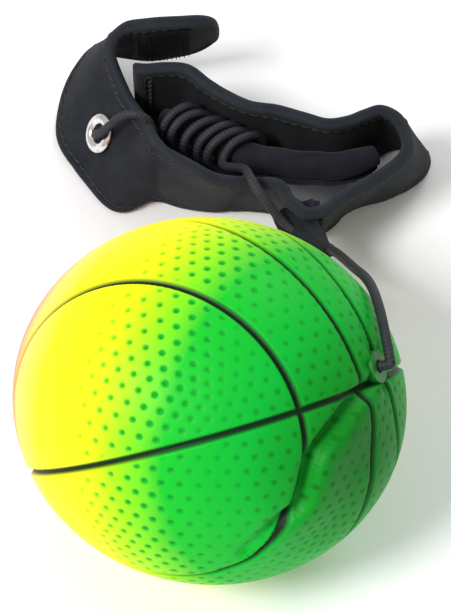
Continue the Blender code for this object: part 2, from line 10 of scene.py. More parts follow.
import bmesh
import bpy
import numpy as np
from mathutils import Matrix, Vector, kdtree


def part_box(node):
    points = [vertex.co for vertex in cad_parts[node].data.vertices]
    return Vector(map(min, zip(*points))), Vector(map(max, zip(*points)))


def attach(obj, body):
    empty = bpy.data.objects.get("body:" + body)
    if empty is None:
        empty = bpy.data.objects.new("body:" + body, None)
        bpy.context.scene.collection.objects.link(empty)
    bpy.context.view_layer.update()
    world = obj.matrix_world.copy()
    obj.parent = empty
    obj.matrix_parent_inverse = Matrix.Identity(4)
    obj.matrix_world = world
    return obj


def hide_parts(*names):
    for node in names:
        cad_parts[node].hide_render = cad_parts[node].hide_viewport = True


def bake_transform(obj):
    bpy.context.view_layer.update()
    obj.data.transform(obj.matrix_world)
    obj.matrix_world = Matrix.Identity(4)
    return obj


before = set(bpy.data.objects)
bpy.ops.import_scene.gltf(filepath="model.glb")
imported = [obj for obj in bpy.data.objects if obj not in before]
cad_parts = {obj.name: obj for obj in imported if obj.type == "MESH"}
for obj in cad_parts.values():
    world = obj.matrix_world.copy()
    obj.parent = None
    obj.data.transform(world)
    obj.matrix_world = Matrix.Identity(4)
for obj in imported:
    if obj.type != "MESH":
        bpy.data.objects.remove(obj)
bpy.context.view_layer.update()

MM = 0.001
BALL_LOW, BALL_HIGH = (np.array(corner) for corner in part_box("ball_shell"))
BALL_PLACE = (BALL_LOW + BALL_HIGH) / 2
STANDING_SPOT = BALL_PLACE * (1.0, 1.0, 0.0)

# The part's own sizes and directions
BAND_WIDTH = 25.0
CORD_DIAMETER = 1.8
BALL_RADIUS = 32.6
BALL_STRETCH = 1.075
BALL_LONG_AXIS = (0.989, -0.124, -0.087)
MOUTH_DIRECTION = (0.845, -0.108, 0.520)
CORD_BEND_HEIGHT = 1.7  # from the mouth out to the cord's turn
EYELET_ALONG, EYELET_ACROSS = 47.4, 13.0
EYELET_FACE = 1.65  # from the cloth's middle to the eyelet's flange
ROLL_RADIUS = 3.9
WIND_RADIUS = 5.1  # of the cord's middle, round the roll

# The strap: a point on its bottom edge, and a point that its width leans towards
STATIONS = (
    ((1.6, 105.4, 9.8), (1.4, 92.8, 31.4)),
    ((-6.0, 104.0, 8.0), (-6.1, 92.6, 30.4)),
    ((-12.8, 104.0, 6.4), (-12.8, 93.6, 29.0)),
    ((-19.4, 105.4, 5.6), (-17.6, 93.8, 27.0)),
    ((-25.0, 106.2, 5.6), (-20.2, 92.6, 24.6)),
    ((-29.2, 102.8, 3.2), (-20.6, 90.8, 22.4)),
    ((-32.0, 96.2, 0.8), (-19.4, 88.0, 20.0)),
    ((-32.4, 86.0, 0.0), (-16.6, 82.6, 18.6)),
    ((-26.2, 74.6, 0.0), (-12.6, 73.8, 20.8)),
    ((-19.6, 67.4, 0.0), (-10.2, 67.0, 23.0)),
    ((-12.9, 70.6, 0.0), (-7.3, 63.4, 23.4)),
    ((-5.8, 69.0, 0.0), (-3.0, 60.4, 23.4)),
    ((1.1, 68.2, 0.0), (1.2, 58.0, 23.0)),
    ((7.9, 68.4, 0.0), (7.7, 57.4, 22.4)),
    ((13.6, 67.2, 0.0), (13.4, 56.6, 22.4)),
    ((17.4, 63.8, 0.0), (15.8, 52.8, 22.0)),
    ((20.8, 61.8, 0.0), (18.6, 50.4, 21.6)),
    ((24.0, 63.6, 0.0), (22.0, 51.2, 21.4)),
    ((26.6, 67.2, 0.0), (25.4, 54.2, 21.4)),
    ((30.0, 69.4, 0.0), (29.6, 57.0, 21.8)),
    ((35.6, 71.2, 0.0), (34.0, 60.0, 22.4)),
    ((40.4, 73.6, 0.0), (37.2, 62.8, 22.4)),
    ((44.0, 77.2, 0.0), (38.8, 66.6, 22.0)),
    ((44.8, 81.2, 0.0), (38.4, 70.6, 22.0)),
    ((42.4, 84.4, 0.0), (36.8, 73.8, 22.8)),
    ((38.0, 84.4, 0.0), (33.8, 75.2, 24.0)),
    ((33.6, 81.6, 0.0), (30.8, 74.0, 24.4)),
    ((29.0, 77.8, 0.0), (27.4, 71.8, 24.6)),
    ((24.0, 75.6, 0.0), (23.2, 71.0, 24.6)),
    ((18.4, 76.4, 0.0), (18.4, 72.6, 24.6)),
    ((13.0, 79.0, 0.0), (13.2, 74.6, 24.6)),
    ((7.6, 79.8, 0.0), (7.8, 75.4, 24.6)),
    ((3.0, 82.6, 0.0), (3.0, 78.4, 24.6)),
    ((-1.0, 85.2, 0.0), (-0.9, 81.4, 24.6)),
    ((-5.2, 88.2, 0.0), (-5.0, 85.2, 24.6)),
    ((-9.6, 88.6, 0.0), (-9.4, 85.6, 24.6)),
    ((-13.4, 88.6, 0.0), (-13.2, 85.4, 24.6)),
    ((-16.2, 89.0, 0.0), (-16.0, 85.8, 24.6)),
)
FOLD_ALONG = 24.6  # where the flap starts to move by itself
FLAP_END = 32.0  # where the flap's cloth meets the band's

ROLL_AXIS = (
    (-10.0, 80.2, 14.6),
    (-3.0, 74.8, 15.6),
    (6.0, 69.0, 16.2),
    (17.0, 66.4, 16.4),
    (27.0, 66.6, 15.8),
    (33.0, 69.6, 15.2),
)
# The cord's free stretches, as points along its middle: from the eyelet to the roll, then on to the ball
LEAD_ROUTE = (
    (-23.4, 75.2, 14.6),
    (-20.9, 75.1, 17.9),
    (-18.8, 75.0, 21.0),
    (-15.6, 74.8, 23.2),
    (-12.6, 74.4, 21.6),
    (-11.8, 73.9, 18.0),
)
NECK_ROUTE = (
    (6.6, 61.0, 22.4),
    (7.2, 57.2, 25.3),
    (8.8, 54.2, 24.6),
    (11.2, 51.8, 22.0),
    (14.0, 50.2, 18.8),
    (17.4, 47.8, 17.6),
    (20.7, 43.2, 20.6),
    (23.2, 38.2, 25.8),
    (25.0, 32.0, 31.4),
    (26.6, 25.4, 37.3),
    (27.7, 19.6, 43.2),
    (28.5, 14.4, 47.6),
    (29.1, 9.8, 50.2),
    (29.7, 5.6, 51.2),
    (30.1, 2.0, 51.6),
)
# Where each turn of the wound cord passes over the roll, as shares of the roll's length
TURN_PLACES = (0.065, 0.124, 0.178, 0.248, 0.32, 0.376, 0.43)
TURN_STEPS = 26  # points along each turn
WIND_WANDER = 0.3  # how far the turns wander in and out

CURVE_STEPS = 24  # points between two of the points that a smooth curve goes through
SIDE_SEED = (0.3, 1.0, 0.2)  # along none of the axes here, so it gives a direction across each


# ---- Geometry helpers


def unit(vector):
    return np.asarray(vector, float) / np.linalg.norm(vector)


def place_in_frame(points):
    return np.asarray(points, float) * MM + STANDING_SPOT


def smooth_curve(points, step):
    """Points at an even step along a smooth curve through the given ones, in any number of dimensions."""
    points = np.asarray(points, float)
    padded = np.vstack([2 * points[0] - points[1], points, 2 * points[-1] - points[-2]])
    knots = np.concatenate([[0.0], np.cumsum(np.sqrt(np.linalg.norm(np.diff(padded, axis=0), axis=1)))])
    fine = []
    for i in range(1, len(padded) - 2):
        p0, p1, p2, p3 = padded[i - 1 : i + 3]
        t0, t1, t2, t3 = knots[i - 1 : i + 3]
        for t in np.linspace(t1, t2, CURVE_STEPS, endpoint=False):
            a1 = (t1 - t) / (t1 - t0) * p0 + (t - t0) / (t1 - t0) * p1
            a2 = (t2 - t) / (t2 - t1) * p1 + (t - t1) / (t2 - t1) * p2
            a3 = (t3 - t) / (t3 - t2) * p2 + (t - t2) / (t3 - t2) * p3
            b1 = (t2 - t) / (t2 - t0) * a1 + (t - t0) / (t2 - t0) * a2
            b2 = (t3 - t) / (t3 - t1) * a2 + (t - t1) / (t3 - t1) * a3
            fine.append((t2 - t) / (t2 - t1) * b1 + (t - t1) / (t2 - t1) * b2)
    fine.append(points[-1])
    return even_path(np.array(fine), step)


def lengths_along(path):
    return np.concatenate([[0.0], np.cumsum(np.linalg.norm(np.diff(path, axis=0), axis=1))])


def read_rows(spots, along, rows):
    """The rows, given at places along a path, read at the spots."""
    return np.stack([np.interp(spots, along, column) for column in np.transpose(rows)], axis=-1)


def even_path(path, step):
    along = lengths_along(path)
    return read_rows(np.linspace(0, along[-1], max(2, round(along[-1] / step) + 1)), along, path)


def tangents_of(path):
    return np.array([unit(row) for row in np.gradient(path, axis=0)])


def frames_along(path):
    """Two directions across the path at each of its points, carried along it without twist."""
    tangents = tangents_of(path)
    side = unit(np.cross(tangents[0], (0.0, 0.3, 1.0)))
    sides = []
    for tangent in tangents:
        side = unit(side - tangent * (side @ tangent))
        sides.append(side)
    sides = np.array(sides)
    return sides, np.cross(tangents, sides)


def smooth_step(values, low, high):
    t = np.clip((np.asarray(values, float) - low) / (high - low), 0.0, 1.0)
    return t * t * (3 - 2 * t)


def bump(distance, width):
    return np.exp(-((np.asarray(distance, float) / width) ** 2))


def grid_faces(rows, columns, closed_rows=False):
    """Faces of a grid of points, row after row, where each row is a closed ring."""
    faces = []
    for i in range(rows - (not closed_rows)):
        near, far = i * columns, (i + 1) % rows * columns
        for k in range(columns):
            after = (k + 1) % columns
            faces.append((near + k, near + after, far + after, far + k))
    return faces


def closed_grid(points):
    """Faces of a body made of rings of points, row after row, with a face over each end."""
    rows, columns = points.shape[:2]
    ring = range(columns)
    return [*grid_faces(rows, columns), tuple(ring[::-1]), tuple((rows - 1) * columns + k for k in ring)]


def grid_marks(first, second, third):
    """Three marks for each point of a grid, from values that vary along its rows, its columns or both."""
    return np.stack(np.broadcast_arrays(first, second, third), axis=-1)


def two_faced(face, back, along, across, rim):
    """The points and marks of a body between two faces of the cloth, whose rows become rings."""
    marks = grid_marks(along, across, rim)
    return np.concatenate([face, back[:, ::-1]], axis=1), np.concatenate([marks, marks[:, ::-1]], axis=1)


def axes_across(axis):
    """Two directions square to an axis and to each other."""
    side = unit(np.cross(axis, SIDE_SEED))
    return side, np.cross(axis, side)


def add_mesh(name, points, faces, finish, marks=None, sharp_angle=60.0):
    """Makes a piece from points in millimetres. marks holds a number, or in a _place a vector, for each."""
    data = bpy.data.meshes.new(name)
    data.from_pydata([tuple(point) for point in place_in_frame(points).reshape(-1, 3)], [], faces)
    for mark, values in (marks or {}).items():
        kind, key = ("FLOAT_VECTOR", "vector") if mark.endswith("_place") else ("FLOAT", "value")
        data.attributes.new(mark, kind, "POINT").data.foreach_set(key, np.ravel(values).astype(np.float32))
    data.shade_smooth()
    data.set_sharp_from_angle(angle=math.radians(sharp_angle))
    data.materials.append(finish)
    made = bpy.data.objects.new(name, data)
    bpy.context.scene.collection.objects.link(made)
    return made


class Solids:
    """Gathers many small closed bodies into the points and faces of one piece."""

    def __init__(self):
        self.points, self.faces, self.marks = [], [], []

    def add(self, points, faces, mark=(0.0, 0.0, 0.0)):
        start = len(self.points)
        self.points += [tuple(point) for point in points]
        self.faces += [tuple(start + i for i in face) for face in faces]
        self.marks += [mark] * len(points)

    def add_tube(self, path, radii, sides, mark=(0.0, 0.0, 0.0)):
        points, faces, _ = tube(np.asarray(path, float), radii, sides)
        self.add(points, faces, mark)


def rings_round(path, across, up, radii, turns):
    """A ring of points round each point of a path, at the angles in turns."""
    out = np.cos(turns)[:, None] * across[:, None] + np.sin(turns)[:, None] * up[:, None]
    return path[:, None] + out * np.broadcast_to(radii, len(path))[:, None, None]


def tube(path, radii, sides):
    """A tube round a path: its points, faces and the place of each point as (along, round, 0)."""
    turns = np.arange(sides) * 2 * math.pi / sides
    rings = rings_round(path, *frames_along(path), radii, turns)
    marks = grid_marks(lengths_along(path)[:, None], turns, 0.0)
    return rings.reshape(-1, 3), closed_grid(rings), marks


def rounded_ends(path, radius):
    """Radii that give a tube round ends, with a small flat on each."""
    flattest = 0.97
    along = lengths_along(path)
    near = np.minimum(along, along[-1] - along)
    inside = np.clip(1 - near / radius, 0.0, flattest)
    return radius * np.sqrt(1 - inside**2)


# ---- Materials


class Finish:
    """A material made from nodes, with short calls for the ones used here."""

    def __init__(self, name, roughness, metallic=0.0, specular=0.5):
        self.material = bpy.data.materials.new(name)
        self.material.use_nodes = True
        self.tree = self.material.node_tree
        self.shader = self.tree.nodes["Principled BSDF"]
        self.shader.inputs["Roughness"].default_value = roughness
        self.shader.inputs["Metallic"].default_value = metallic
        self.shader.inputs["Specular IOR Level"].default_value = specular

    def node(self, kind, inputs=None, **settings):
        made = self.tree.nodes.new(kind)
        for key, value in settings.items():
            setattr(made, key, value)
        for key, value in (inputs or {}).items():
            if isinstance(value, bpy.types.NodeSocket):
                self.tree.links.new(value, made.inputs[key])
            else:
                made.inputs[key].default_value = value
        return made

    def math(self, operation, a, b=0.0, c=0.0):
        return self.node("ShaderNodeMath", {0: a, 1: b, 2: c}, operation=operation).outputs[0]

    def mark(self, name, output="Fac"):
        """What a piece's points hold under this name."""
        return self.node("ShaderNodeAttribute", attribute_name=name).outputs[output]

    def noise(self, scale, detail):
        place = self.node("ShaderNodeTexCoord").outputs["Object"]
        inputs = {"Scale": scale, "Detail": detail, "Roughness": 0.55, "Vector": place}
        return self.node("ShaderNodeTexNoise", inputs).outputs["Fac"]

    def ramp(self, value, stops):
        made = self.node("ShaderNodeValToRGB", {"Fac": value})
        elements = made.color_ramp.elements
        while len(elements) < len(stops):
            elements.new(0.5)
        for element, (place, color) in zip(elements, stops):
            element.position = place
            element.color = (*color, 1.0)
        return made.outputs["Color"]

    def mix(self, share, a, b):
        made = self.node("ShaderNodeMix", data_type="RGBA")
        sockets = [socket for socket in made.inputs if socket.enabled]
        for socket, value in zip(sockets, (share, a, b)):
            if isinstance(value, bpy.types.NodeSocket):
                self.tree.links.new(value, socket)
            elif isinstance(value, tuple):
                socket.default_value = (*value, 1.0)
            else:
                socket.default_value = value
        return [socket for socket in made.outputs if socket.enabled][0]

    def color(self, value):
        self.tree.links.new(value, self.shader.inputs["Base Color"])

    def roughness(self, value):
        self.tree.links.new(value, self.shader.inputs["Roughness"])

    def bump(self, height, strength, distance):
        made = self.node("ShaderNodeBump", {"Height": height, "Strength": strength, "Distance": distance})
        self.tree.links.new(made.outputs["Normal"], self.shader.inputs["Normal"])


def cloth_finish(name, dark, light, weave_step, weave_depth=0.07, sheen=0.04):
    """Matt knitted cloth, with a painted highlight on its rim and darker where a piece has lining, both 0 to
    1.

    cloth_place holds millimetres along and across the cloth, and the share of painted highlight on the rim.
    """
    finish = Finish(name, 0.92, specular=0.12)
    finish.shader.inputs["Sheen Weight"].default_value = sheen
    finish.shader.inputs["Sheen Roughness"].default_value = 0.5
    place = finish.node("ShaderNodeSeparateXYZ", {0: finish.mark("cloth_place", "Vector")})
    along, across, rim = place.outputs
    turns = 2 * math.pi / weave_step
    rows = finish.math("SINE", finish.math("MULTIPLY", along, turns))
    columns = finish.math("SINE", finish.math("MULTIPLY", across, turns))
    weave = finish.math("MULTIPLY_ADD", finish.math("MULTIPLY", rows, columns), 0.5, 0.5)
    mottle = finish.noise(260.0, 4.0)
    fuzz = finish.noise(2600.0, 2.0)
    shade = finish.math("MULTIPLY_ADD", weave, 0.35, finish.math("MULTIPLY", mottle, 0.75))
    color = finish.ramp(shade, [(0.15, dark), (0.85, light)])
    # Painted highlight: the rim is mixed towards a brighter copy of the light colour.
    rim_highlight_color = tuple(2.1 * channel for channel in light)
    rim_highlighted = finish.mix(finish.math("MULTIPLY", rim, 0.35), color, rim_highlight_color)
    inner = finish.math("MULTIPLY", finish.mark("lining"), 0.72)
    finish.color(finish.mix(inner, rim_highlighted, tuple(0.4 * channel for channel in dark)))
    height = finish.math("MULTIPLY_ADD", fuzz, 0.5, weave)
    finish.bump(height, 0.6, weave_depth * MM)
    return finish.material


def cord_finish(name):
    """Braided elastic: cord_place holds millimetres along and the angle round."""
    finish = Finish(name, 0.62, specular=0.4)
    place = finish.node("ShaderNodeSeparateXYZ", {0: finish.mark("cord_place", "Vector")})
    along, turn, _ = place.outputs
    strands = finish.math("MULTIPLY", turn, 6.0)
    lay = finish.math("MULTIPLY", along, 4.2)
    left = finish.math("SINE", finish.math("ADD", lay, strands))
    right = finish.math("SINE", finish.math("SUBTRACT", lay, strands))
    braid = finish.math("MULTIPLY_ADD", finish.math("MULTIPLY", left, right), 0.5, 0.5)
    wear = finish.noise(500.0, 3.0)
    shade = finish.math("MULTIPLY_ADD", braid, 0.6, finish.math("MULTIPLY", wear, 0.4))
    finish.color(finish.ramp(shade, [(0.2, (0.004, 0.004, 0.006)), (0.9, (0.026, 0.029, 0.036))]))
    finish.bump(braid, 0.7, 0.12 * MM)
    return finish.material


def thread_finish():
    finish = Finish("sewing_thread", 0.55)
    twist = finish.noise(4000.0, 2.0)
    finish.color(finish.ramp(twist, [(0.3, (0.005, 0.005, 0.006)), (0.8, (0.018, 0.019, 0.022))]))
    return finish.material


def metal_finish():
    """Bright nickel plate with fine marks."""
    finish = Finish("nickel_plate", 0.2, metallic=1.0)
    marks = finish.noise(900.0, 6.0)
    finish.color(finish.ramp(marks, [(0.3, (0.62, 0.59, 0.58)), (0.7, (0.90, 0.87, 0.85))]))
    finish.roughness(finish.math("MULTIPLY_ADD", marks, 0.25, 0.08))
    finish.bump(marks, 0.15, 0.03 * MM)
    return finish.material


def ball_finish():
    """Dimpled rubber, sprayed from pink and orange over yellow to green, with black grooves and painted shade
    in its pits.
    """
    finish = Finish("ball_rubber_spray", 0.48, specular=0.14)
    spray = finish.mark("spray")
    pit = finish.mark("pit")
    groove = finish.mark("groove")
    cloud = finish.math("MULTIPLY_ADD", finish.noise(70.0, 3.0), 0.10, -0.05)
    # Painted shade: the pits push the spray towards green.
    pit_shade_spray = finish.math("MULTIPLY_ADD", pit, 0.22, spray)
    fade = finish.math("ADD", pit_shade_spray, cloud)
    share = finish.math("MULTIPLY_ADD", fade, 0.5, 0.5)
    paint = finish.ramp(share, [
        (0.00, (0.80, 0.05, 0.10)),
        (0.12, (0.93, 0.18, 0.12)),
        (0.17, (1.00, 0.45, 0.18)),
        (0.24, (1.00, 0.84, 0.12)),
        (0.33, (1.00, 0.97, 0.012)),
        (0.45, (0.92, 0.97, 0.006)),
        (0.54, (0.58, 0.88, 0.006)),
        (0.63, (0.22, 0.72, 0.008)),
        (0.71, (0.006, 0.50, 0.022)),
        (0.87, (0.001, 0.42, 0.032)),
        # The last two stops darken the green: partly the ball's own dark green, partly painted shade on its
        # right side.
        (0.95, (0.001, 0.27, 0.013)),
        (1.00, (0.001, 0.16, 0.007)),
    ])
    # Painted shade: the pits are mixed towards dark green.
    shaded = finish.mix(finish.math("MULTIPLY", pit, 0.5), paint, (0.0, 0.10, 0.0))
    finish.color(finish.mix(groove, shaded, (0.004, 0.018, 0.006)))
    grain = finish.noise(3500.0, 2.0)
    finish.bump(grain, 0.12, 0.03 * MM)
    return finish.material


def floor_finish():
    finish = Finish("pale_floor", 0.85, specular=0.1)
    patch = finish.noise(3.0, 2.0)
    finish.color(finish.ramp(patch, [(0.2, (0.86, 0.86, 0.86)), (0.8, (0.90, 0.90, 0.90))]))
    return finish.material


# ---- Camera, light and floor

CAMERA_PLACE = (2.8, -215.9, 370.2)
CAMERA_TILT = 35.0  # degrees from straight down
LENS = 179.5
FLOOR_HALF = 2.5  # metres, as are the lights' places
FLOOR_DROP = 0.0004  # keeps the floor just clear of what stands on it


def add_camera():
    data = bpy.data.cameras.new("camera")
    data.lens = LENS
    data.sensor_fit = "HORIZONTAL"
    data.clip_start, data.clip_end = 0.01, 20.0
    camera = bpy.data.objects.new("camera", data)
    camera.location = place_in_frame(CAMERA_PLACE)
    camera.rotation_euler = (math.radians(CAMERA_TILT), 0.0, 0.0)
    bpy.context.scene.collection.objects.link(camera)
    bpy.context.scene.camera = camera


def add_light(name, place, target, size, power):
    data = bpy.data.lights.new(name, "AREA")
    data.shape = "DISK"
    data.size = size
    data.energy = power
    light = bpy.data.objects.new(name, data)
    light.location = place
    light.rotation_euler = (Vector(target) - Vector(place)).to_track_quat("-Z", "Y").to_euler()
    bpy.context.scene.collection.objects.link(light)


def add_studio():
    """Soft white light from all round, a key light, a light from behind, and the floor."""
    scene = bpy.context.scene
    scene.view_settings.view_transform = "Standard"
    world = bpy.data.worlds.new("studio")
    world.use_nodes = True
    world.node_tree.nodes["Background"].inputs["Color"].default_value = (1.0, 1.0, 1.0, 1.0)
    world.node_tree.nodes["Background"].inputs["Strength"].default_value = 0.6
    scene.world = world
    add_light("key", (-0.55, -0.45, 0.85), (0.0, 0.0, 0.02), 0.35, 10.0)
    add_light("rim", (0.35, 0.75, 0.65), (0.0, 0.03, 0.02), 0.5, 3.0)
    points = [(x * FLOOR_HALF, y * FLOOR_HALF, 0.0) for x, y in ((-1, -1), (1, -1), (1, 1), (-1, 1))]
    data = bpy.data.meshes.new("floor")
    data.from_pydata(points, [], [(0, 1, 2, 3)])
    data.materials.append(floor_finish())
    floor = bpy.data.objects.new("floor", data)
    floor.location.z = -FLOOR_DROP
    scene.collection.objects.link(floor)


# ---- The cord

CORD_STEP = 0.6
CORD_SIDES = 14
# Rounds that ease the corners of the stretch to the roll, of the one to the ball, and of the joined cord
LEAD_EASING, NECK_EASING, CORD_EASING = 26, 34, 12
CORD_BEHIND_EYELET = 1.5
CORD_BEFORE_EYELET = 3.2
CORD_OUT_OF_MOUTH, CORD_INTO_PLUG = 0.8, 4.2  # the two ends of the last piece, from the turn at the mouth


def ball_shape():
    """The ball's stretch, its middle, its mouth, and the direction out of the mouth."""
    long_axis = unit(BALL_LONG_AXIS)
    stretch = np.eye(3) + (BALL_STRETCH - 1) * np.outer(long_axis, long_axis)
    middle = np.array((0.0, 0.0, BALL_PLACE[2] / MM))
    mouth = middle + stretch @ unit(MOUTH_DIRECTION) * BALL_RADIUS
    return stretch, middle, mouth, unit(mouth - middle)


def wound_path(roll):
    """The cord's turns round the roll, each passing over it at the next of TURN_PLACES."""
    turns = len(TURN_PLACES) - 1
    over = np.interp(np.linspace(0, turns, turns * TURN_STEPS + 1), np.arange(turns + 1), TURN_PLACES)
    angle = np.linspace(0, 2 * math.pi * turns, len(over))
    sides, ups = frames_along(roll)
    along = lengths_along(roll) / lengths_along(roll)[-1]
    slant = (0.035 + 0.09 * over) * np.cos(angle)  # each turn leans from its far side down to its near side
    places = np.clip(over - slant, 0.0, 1.0)
    middle = read_rows(places, along, roll)
    side = read_rows(places, along, sides)
    up = read_rows(places, along, ups)
    radius = WIND_RADIUS + WIND_WANDER * np.sin(1.7 * angle)
    return middle + radius[:, None] * (np.cos(angle)[:, None] * side + np.sin(angle)[:, None] * up)


def cord_route(strap, roll):
    """The cord's whole path, from behind the eyelet to the turn at the ball's mouth, and that turn's place.

    Both free stretches run on into the wound turns, so that they meet them in line, and are cut back there.
    """
    normal = strap.normal_at(EYELET_ALONG)
    eyelet = strap.place(EYELET_ALONG, EYELET_ACROSS)
    _, _, mouth, axis = ball_shape()
    bend = mouth + axis * CORD_BEND_HEIGHT
    wound = wound_path(roll)
    first, second = wound[0], wound[6]
    through = (eyelet - normal * CORD_BEHIND_EYELET, eyelet + normal * CORD_BEFORE_EYELET)
    lead = relaxed(smooth_curve([*through, *LEAD_ROUTE, first, second], CORD_STEP), LEAD_EASING)
    before_turns = np.linalg.norm(lead - second, axis=1) > 0.7 * np.linalg.norm(first - second)
    start, last = wound[-8], wound[-1]
    neck = relaxed(smooth_curve([start, last, *NECK_ROUTE, bend], CORD_STEP), NECK_EASING)
    after_turns = np.linalg.norm(neck - start, axis=1) > np.linalg.norm(wound[-3] - start)
    whole = np.vstack([lead[before_turns], wound[2:-4], neck[after_turns]])
    return even_path(relaxed(whole, CORD_EASING), CORD_STEP), bend


def relaxed(path, rounds):
    """The path at an even step, with its corners eased."""
    path = even_path(path, 0.5)
    for _ in range(rounds):
        path[1:-1] = 0.5 * path[1:-1] + 0.25 * (path[:-2] + path[2:])
    return path


def add_cord(strap, roll, finish):
    path, bend = cord_route(strap, roll)
    points, faces, marks = tube(path, CORD_DIAMETER / 2, CORD_SIDES)
    cord = add_mesh("elastic_cord", points, faces, finish, {"cord_place": marks})
    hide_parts("cord_lead", "cord_coil", "cord_neck", "cord_tip")
    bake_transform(cord)

    _, _, _, axis = ball_shape()
    ends = np.array([bend + axis * CORD_OUT_OF_MOUTH, bend - axis * CORD_INTO_PLUG])
    inside = even_path(ends, CORD_STEP / 2)
    points, faces, marks = tube(inside, rounded_ends(inside, CORD_DIAMETER / 2), CORD_SIDES)
    end = add_mesh("cord_inside_mouth", points, faces, finish, {"cord_place": marks})
    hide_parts("cord_through_plug")
    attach(end, "anchor")


# ---- The strap

STRAP_STEP = 1.0
STRAP_COLUMNS = 49  # points across each face of the cloth
HEM_HALF = 1.26  # half of the hem's thickness
BODY_HALF = 1.12  # and half of the cloth's inside the hem
HEM_REACH = 2.6  # from the edge to the hem's stitches
RIM_REACH = 1.3  # from the edge to where the rim's rounding ends
STITCH_DIP, STITCH_DIP_WIDTH = 0.14, 0.35  # the groove that the stitches pull in
THINNEST_HALF = 0.02
LEAST_HEIGHT = 0.03  # above the floor
FLAP_TIP = 7.0  # how much of the flap's end is rounded
FLAP_TIP_POWER = 2.6
TAIL_EASE = 3.0  # the last stretch of the tail, with closer points for its rim
# The sharp creases, each as (along, slant, depth)
CREASES = ((52, 0.25, 0.35), (66, -0.3, 0.3), (83, 0.2, 0.4), (96, 0.1, 0.45), (118, -0.25, 0.3))
CREASE_WIDTH = 0.9
FLAT_ROUND_EYELET = 5.5


class Strap:
    """The wristband's strip of cloth: places on it are (along, across, out), all in millimetres."""

    def __init__(self):
        leans = [unit(np.subtract(top, low)) for low, top in STATIONS]
        edges = [np.concatenate([low, low + BAND_WIDTH * lean]) for (low, _), lean in zip(STATIONS, leans)]
        rows = smooth_curve(edges, STRAP_STEP)
        rows[:, 2] = np.maximum(rows[:, 2], 0.0)
        self.low = rows[:, :3]
        self.lean = np.array([unit(row[3:] - row[:3]) for row in rows])
        middle = (rows[:, :3] + rows[:, 3:]) / 2
        self.along = lengths_along(middle)
        self.length = self.along[-1]
        self.normal = np.array([unit(np.cross(t, a)) for t, a in zip(tangents_of(middle), self.lean)])

    def normal_at(self, along):
        return unit(read_rows(along, self.along, self.normal))

    def place(self, along, across, out=0.0):
        """One place, or one for each number in arrays of the same shape."""
        kept = (self.low, self.lean, self.normal)
        base, lean, normal = (read_rows(along, self.along, rows) for rows in kept)
        lean /= np.linalg.norm(lean, axis=-1, keepdims=True)
        normal /= np.linalg.norm(normal, axis=-1, keepdims=True)
        return base + lean * np.asarray(across)[..., None] + normal * np.asarray(out)[..., None]


def crumple(along, across):
    """How far the cloth's middle stands out of the smooth strap: long soft waves and a few sharp creases."""
    waves = 0.20 * np.sin(along / 2.9 + across / 9.0) * np.sin(across / 6.1 + 0.8)
    waves += 0.14 * np.sin(along / 1.7 - across / 4.4 + 1.3)
    creases = 0
    for place, slant, depth in CREASES:
        creases = creases - depth * bump(along - place - slant * (across - BAND_WIDTH / 2), CREASE_WIDTH)
    ease = smooth_step(across, 0.0, 5.0) * (1 - smooth_step(across, BAND_WIDTH - 4.0, BAND_WIDTH))
    off_eyelet = 1 - bump(np.hypot(along - EYELET_ALONG, across - EYELET_ACROSS), FLAT_ROUND_EYELET)
    return (waves + creases) * (0.35 + 0.65 * ease) * off_eyelet


def half_thickness(edge):
    """Half of the cloth's thickness at a distance from its edge: a rim, the hem, its groove, the body."""
    rim = np.sqrt(np.clip(1 - (1 - np.clip(edge / RIM_REACH, 0, 1)) ** 2, 0.0, 1))
    hem = HEM_HALF - (HEM_HALF - BODY_HALF) * smooth_step(edge, HEM_REACH - 0.7, HEM_REACH + 0.5)
    return rim * hem - STITCH_DIP * bump(edge - HEM_REACH, STITCH_DIP_WIDTH)


def flap_half_width(along):
    """Half of the flap's width, which narrows to a round end at its tip."""
    reach = np.clip((FLAP_TIP - along) / FLAP_TIP, 0.0, 0.9999)
    return BAND_WIDTH / 2 * (1 - reach**FLAP_TIP_POWER) ** (1 / FLAP_TIP_POWER)


def strap_piece(name, strap, spots, half_width, ends, finish):
    """A stretch of the strap as one closed body. ends says which of its two ends have a hem."""
    start, stop = spots[0], spots[-1]
    even = np.linspace(-1, 1, STRAP_COLUMNS)
    shares = 0.5 * np.sin(even * math.pi / 2) + 0.5 * even  # closer together near both edges
    along = np.repeat(spots[:, None], len(shares), axis=1)
    half = half_width[:, None]
    across = BAND_WIDTH / 2 + shares[None] * half
    edge = half - np.abs(across - BAND_WIDTH / 2)
    if ends[0]:
        edge = np.minimum(edge, along - start)
    if ends[1]:
        edge = np.minimum(edge, stop - along)
    thick = np.maximum(half_thickness(edge), THINNEST_HALF)
    middle = crumple(along, across)
    outer = strap.place(along, across, middle + thick)
    inner = strap.place(along, across, middle - thick)
    # Painted highlight along the cloth's rounded edge, carried in the rim mark.
    rim = bump(edge - 0.55, 0.5) * (edge < 1.6)
    points, marks = two_faced(outer, inner, along, across, rim)
    points[..., 2] = np.maximum(points[..., 2], LEAST_HEIGHT)
    inside = smooth_step(edge, HEM_REACH - 0.4, HEM_REACH + 0.1)
    lining = np.concatenate([0 * inside, inside[:, ::-1]], axis=1)
    faces = [face[::-1] for face in closed_grid(points)]
    return add_mesh(name, points, faces, finish, {"cloth_place": marks, "lining": lining})


